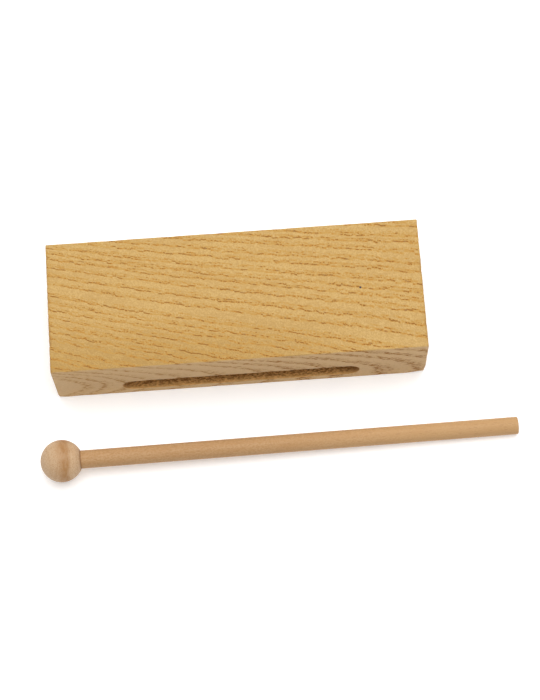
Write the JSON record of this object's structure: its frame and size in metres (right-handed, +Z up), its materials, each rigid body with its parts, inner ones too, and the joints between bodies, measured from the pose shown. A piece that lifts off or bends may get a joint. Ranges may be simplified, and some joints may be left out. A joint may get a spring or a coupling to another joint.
{
  "type": "wood block with beater",
  "caption": "Solid hardwood percussion block with a long round-ended sound slot in one side, and a ball-headed wooden beater lying in front of it.",
  "frame": {"origin": "centre of the block's underside, on the table", "axes": "+X along the block to the right as one faces the slot, -Y out of the slotted face, where the beater lies, +Z up"},
  "size_m": [0.2315, 0.1105, 0.04],
  "materials": {
    "block_wood": "ring-porous hardwood, brushed and unvarnished, golden tan with brown pore lines",
    "head_wood": "fine-pored hardwood, turned and sanded smooth, waxed",
    "stick_wood": "fine-pored hardwood dowel, sanded smooth, unvarnished"
  },
  "bodies": {
    "block": {"block": "block_wood"},
    "beater": {"beater_head": "head_wood", "beater_stick": "stick_wood"}
  },
  "joints": [
    {"name": "beater_lift", "type": "slide", "parent": "block", "child": "beater", "axis": [0, 0, 1], "range_m": [0, 0.15]}
  ]
}
